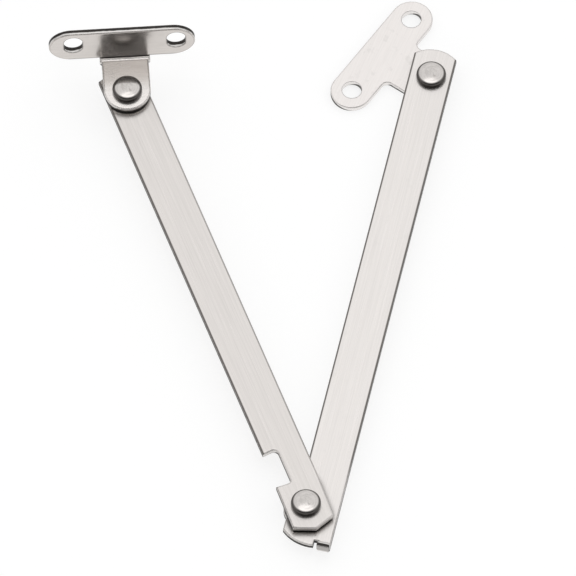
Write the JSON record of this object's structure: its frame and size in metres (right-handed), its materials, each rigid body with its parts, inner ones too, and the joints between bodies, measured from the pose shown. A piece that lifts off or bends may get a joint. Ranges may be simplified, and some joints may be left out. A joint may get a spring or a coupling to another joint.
{
  "type": "lid stay",
  "caption": "Two-arm folding lid stay in 10 mm stainless strip with screw brackets and an over-centre elbow stop.",
  "frame": {"origin": "midway between the plate bracket's two screw holes, on its back face", "axes": "+X from the screw line to the plate pivot, +Y along the line of the two screw holes, +Z out of the plate bracket's back face towards the arms, which is the axis of every pivot"},
  "size_m": [0.1327, 0.1408, 0.0194],
  "materials": {
    "arm_steel": "brushed",
    "bracket_steel": "satin",
    "rivet_steel": "polished",
    "washer_steel": "satin"
  },
  "bodies": {
    "plate": {"plate_bracket": "bracket_steel", "plate_rivet": "rivet_steel", "plate_washer": "washer_steel"},
    "stop_arm": {"stop_arm": "arm_steel", "elbow_rivet": "rivet_steel", "elbow_washer": "washer_steel"},
    "notched_arm": {"notched_arm": "arm_steel", "bracket_rivet": "rivet_steel", "bracket_washer": "washer_steel"},
    "angle_bracket": {"angle_bracket": "bracket_steel"}
  },
  "joints": [
    {"name": "plate_pivot", "type": "hinge", "parent": "plate", "child": "stop_arm", "pos_m": [0.014, 0.00065, 0], "axis": [0, 0, 1], "continuous": true},
    {"name": "elbow", "type": "hinge", "parent": "stop_arm", "child": "notched_arm", "pos_m": [0.05978, -0.11497, 0], "axis": [0, 0, 1], "range_deg": [-30.2, 166.2]},
    {"name": "bracket_pivot", "type": "hinge", "parent": "notched_arm", "child": "angle_bracket", "pos_m": [-0.04104, -0.04671, 0], "axis": [0, 0, 1], "continuous": true}
  ]
}
